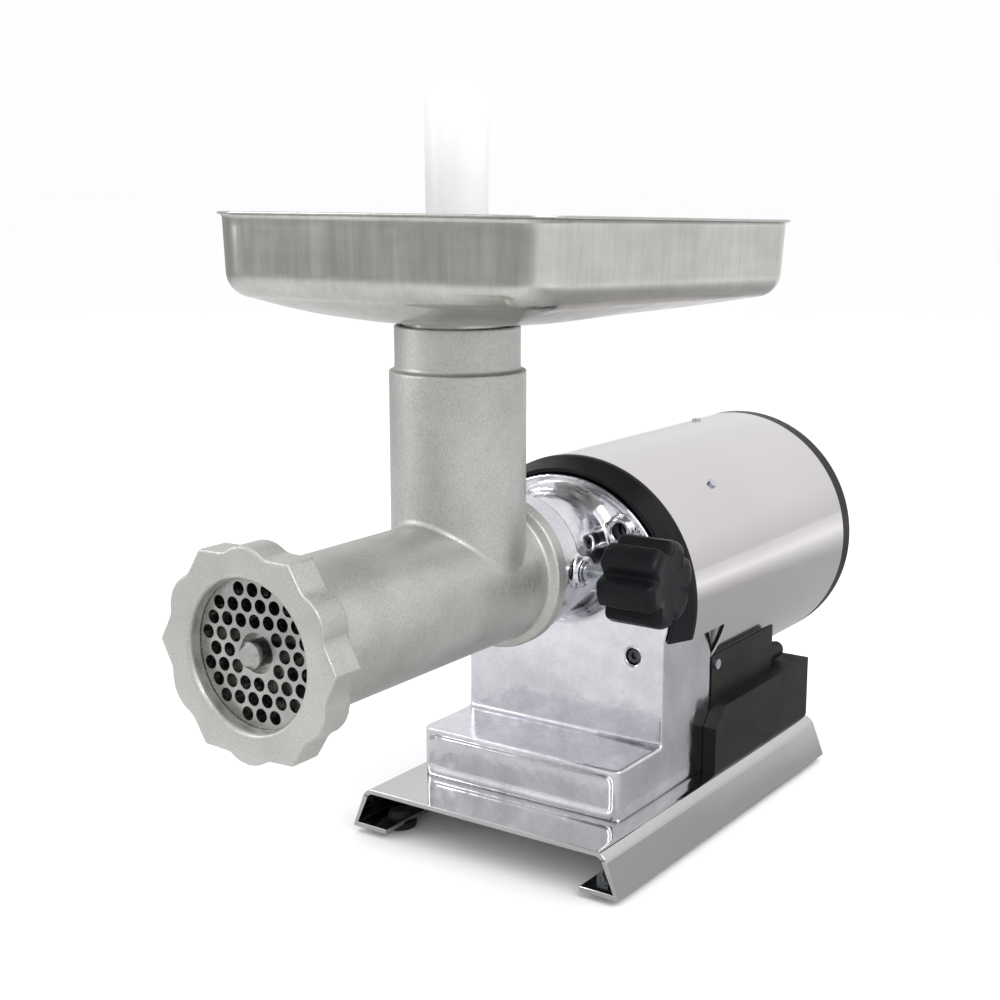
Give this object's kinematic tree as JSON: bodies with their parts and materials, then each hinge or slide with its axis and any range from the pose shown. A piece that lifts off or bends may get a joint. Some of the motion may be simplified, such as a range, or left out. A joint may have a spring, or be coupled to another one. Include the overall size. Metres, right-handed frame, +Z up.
{
  "type": "electric meat grinder",
  "caption": "Countertop electric meat grinder: clamp-in cast head with plate, knife and auger, feed tray and stomper, and a geared motor in a drum cover on a folded steel base.",
  "frame": {"origin": "under the middle of the bounding box, on the surface the feet stand on", "axes": "+X to the operator's right, on the clamp knob's side; +Y from the grinding plate towards the motor; +Z up"},
  "size_m": [0.215, 0.5182, 0.4367],
  "materials": {
    "mirror_stainless": "mirror-polished stainless sheet",
    "drum_stainless": "bright-polished stainless sheet",
    "rubber": "matt black",
    "polished_casting": "polished casting",
    "plain_casting": "as cast",
    "gasket": "matt",
    "zinc": "zinc plated",
    "dark_steel": "blackened",
    "bright_steel": "ground",
    "gear_steel": "oiled, machined",
    "bronze": "sintered, oiled",
    "lamination": "stacked laminations",
    "copper": "enamelled copper wire",
    "black_plastic": "satin black",
    "box_plastic": "satin black, fine grain",
    "rocker_green": "gloss",
    "button_red": "satin",
    "capacitor_white": "satin",
    "terminal_cream": "satin",
    "tinned_casting": "tinned, fine-grained cast surface",
    "washer_nylon": "matt",
    "tray_stainless": "drawn sheet, satin",
    "stomper_white": "moulded, satin"
  },
  "bodies": {
    "machine": {"base_plate": "mirror_stainless", "base_feet": "rubber", "gearbox_housing": "polished_casting", "gearbox_cover": "plain_casting", "cover_gasket": "gasket", "housing_bolts": "zinc", "recess_screws": "dark_steel", "oil_plug": "dark_steel", "shaft_seal": "rubber", "output_bearings": "bright_steel", "intermediate_bushes": "bronze", "motor_bearings": "bright_steel", "motor_frame": "plain_casting", "stator_core": "lamination", "stator_windings": "copper", "rear_shield": "plain_casting", "tie_rods": "zinc", "motor_front_ring": "black_plastic", "motor_cover": "drum_stainless", "cover_screws": "zinc", "rear_cap": "black_plastic", "cap_screws": "zinc", "electrical_box": "box_plastic", "box_screws": "zinc", "rocker_bezel": "black_plastic", "run_capacitor": "capacitor_white", "terminal_block": "terminal_cream", "cable_gland": "black_plastic"},
    "motor": {"rotor_core": "lamination", "motor_shaft": "bright_steel", "motor_pinion": "gear_steel", "cooling_fan": "black_plastic"},
    "intermediate": {"intermediate_gear": "gear_steel", "intermediate_pinion": "gear_steel", "intermediate_shaft": "bright_steel"},
    "output": {"output_shaft": "bright_steel", "output_gear": "gear_steel", "output_key": "dark_steel", "output_circlip": "dark_steel"},
    "head": {"head_body": "tinned_casting", "head_bush": "bronze", "hole_plate": "bright_steel", "plate_key": "dark_steel"},
    "auger": {"auger": "tinned_casting", "auger_spindle": "bright_steel", "auger_washer": "washer_nylon", "cutting_knife": "bright_steel"},
    "ring": {"ring_nut": "tinned_casting"},
    "tray": {"tray_pan": "tray_stainless", "tray_collar": "tray_stainless"},
    "stomper": {"stomper": "stomper_white"},
    "stud": {"clamp_stud": "zinc"},
    "knob": {"clamp_knob": "black_plastic"},
    "rocker": {"power_rocker": "rocker_green"},
    "reset": {"reset_button": "button_red"}
  },
  "joints": [
    {"name": "motor_turn", "type": "hinge", "parent": "machine", "child": "motor", "pos_m": [0, 0.1067, 0.1434], "axis": [0, 1, 0], "continuous": true},
    {"name": "intermediate_turn", "type": "hinge", "parent": "machine", "child": "intermediate", "pos_m": [-0.03349, 0.0367, 0.14755], "axis": [0, 1, 0], "continuous": true},
    {"name": "output_turn", "type": "hinge", "parent": "machine", "child": "output", "pos_m": [0, 0.0067, 0.1712], "axis": [0, 1, 0], "continuous": true},
    {"name": "head_pull", "type": "slide", "parent": "machine", "child": "head", "axis": [0, -1, 0], "range_m": [0, 0.09]},
    {"name": "auger_turn", "type": "hinge", "parent": "head", "child": "auger", "pos_m": [0, -0.1433, 0.1712], "axis": [0, 1, 0], "continuous": true},
    {"name": "ring_turn", "type": "hinge", "parent": "head", "child": "ring", "pos_m": [0, -0.2483, 0.1712], "axis": [0, -1, 0], "range_deg": [0, 720]},
    {"name": "tray_lift", "type": "slide", "parent": "head", "child": "tray", "axis": [0, 0, 1], "range_m": [0, 0.08]},
    {"name": "stomper_lift", "type": "slide", "parent": "head", "child": "stomper", "axis": [0, 0, 1], "range_m": [0, 0.24]},
    {"name": "clamp_advance", "type": "slide", "parent": "machine", "child": "stud", "axis": [1, 0, 0], "range_m": [0, 0.0061]},
    {"name": "clamp_turn", "type": "hinge", "parent": "stud", "child": "knob", "pos_m": [0.06, -0.0323, 0.1712], "axis": [1, 0, 0], "range_deg": [0, 1440]},
    {"name": "power_rocker_tilt", "type": "hinge", "parent": "machine", "child": "rocker", "pos_m": [-0.075, 0.1312, 0.04985], "axis": [0, -1, 0], "range_deg": [0, 14]},
    {"name": "reset_push", "type": "slide", "parent": "machine", "child": "reset", "axis": [1, 0, 0], "range_m": [0, 0.003], "stiffness_N_per_m": 400}
  ],
  "couplings": [
    {"joint": "intermediate_turn", "follows": "motor_turn", "ratio": -0.31707},
    {"joint": "output_turn", "follows": "motor_turn", "ratio": 0.1312},
    {"joint": "auger_turn", "follows": "motor_turn", "ratio": 0.1312},
    {"joint": "clamp_advance", "follows": "clamp_turn", "m_per_rad": 0.00023873}
  ]
}
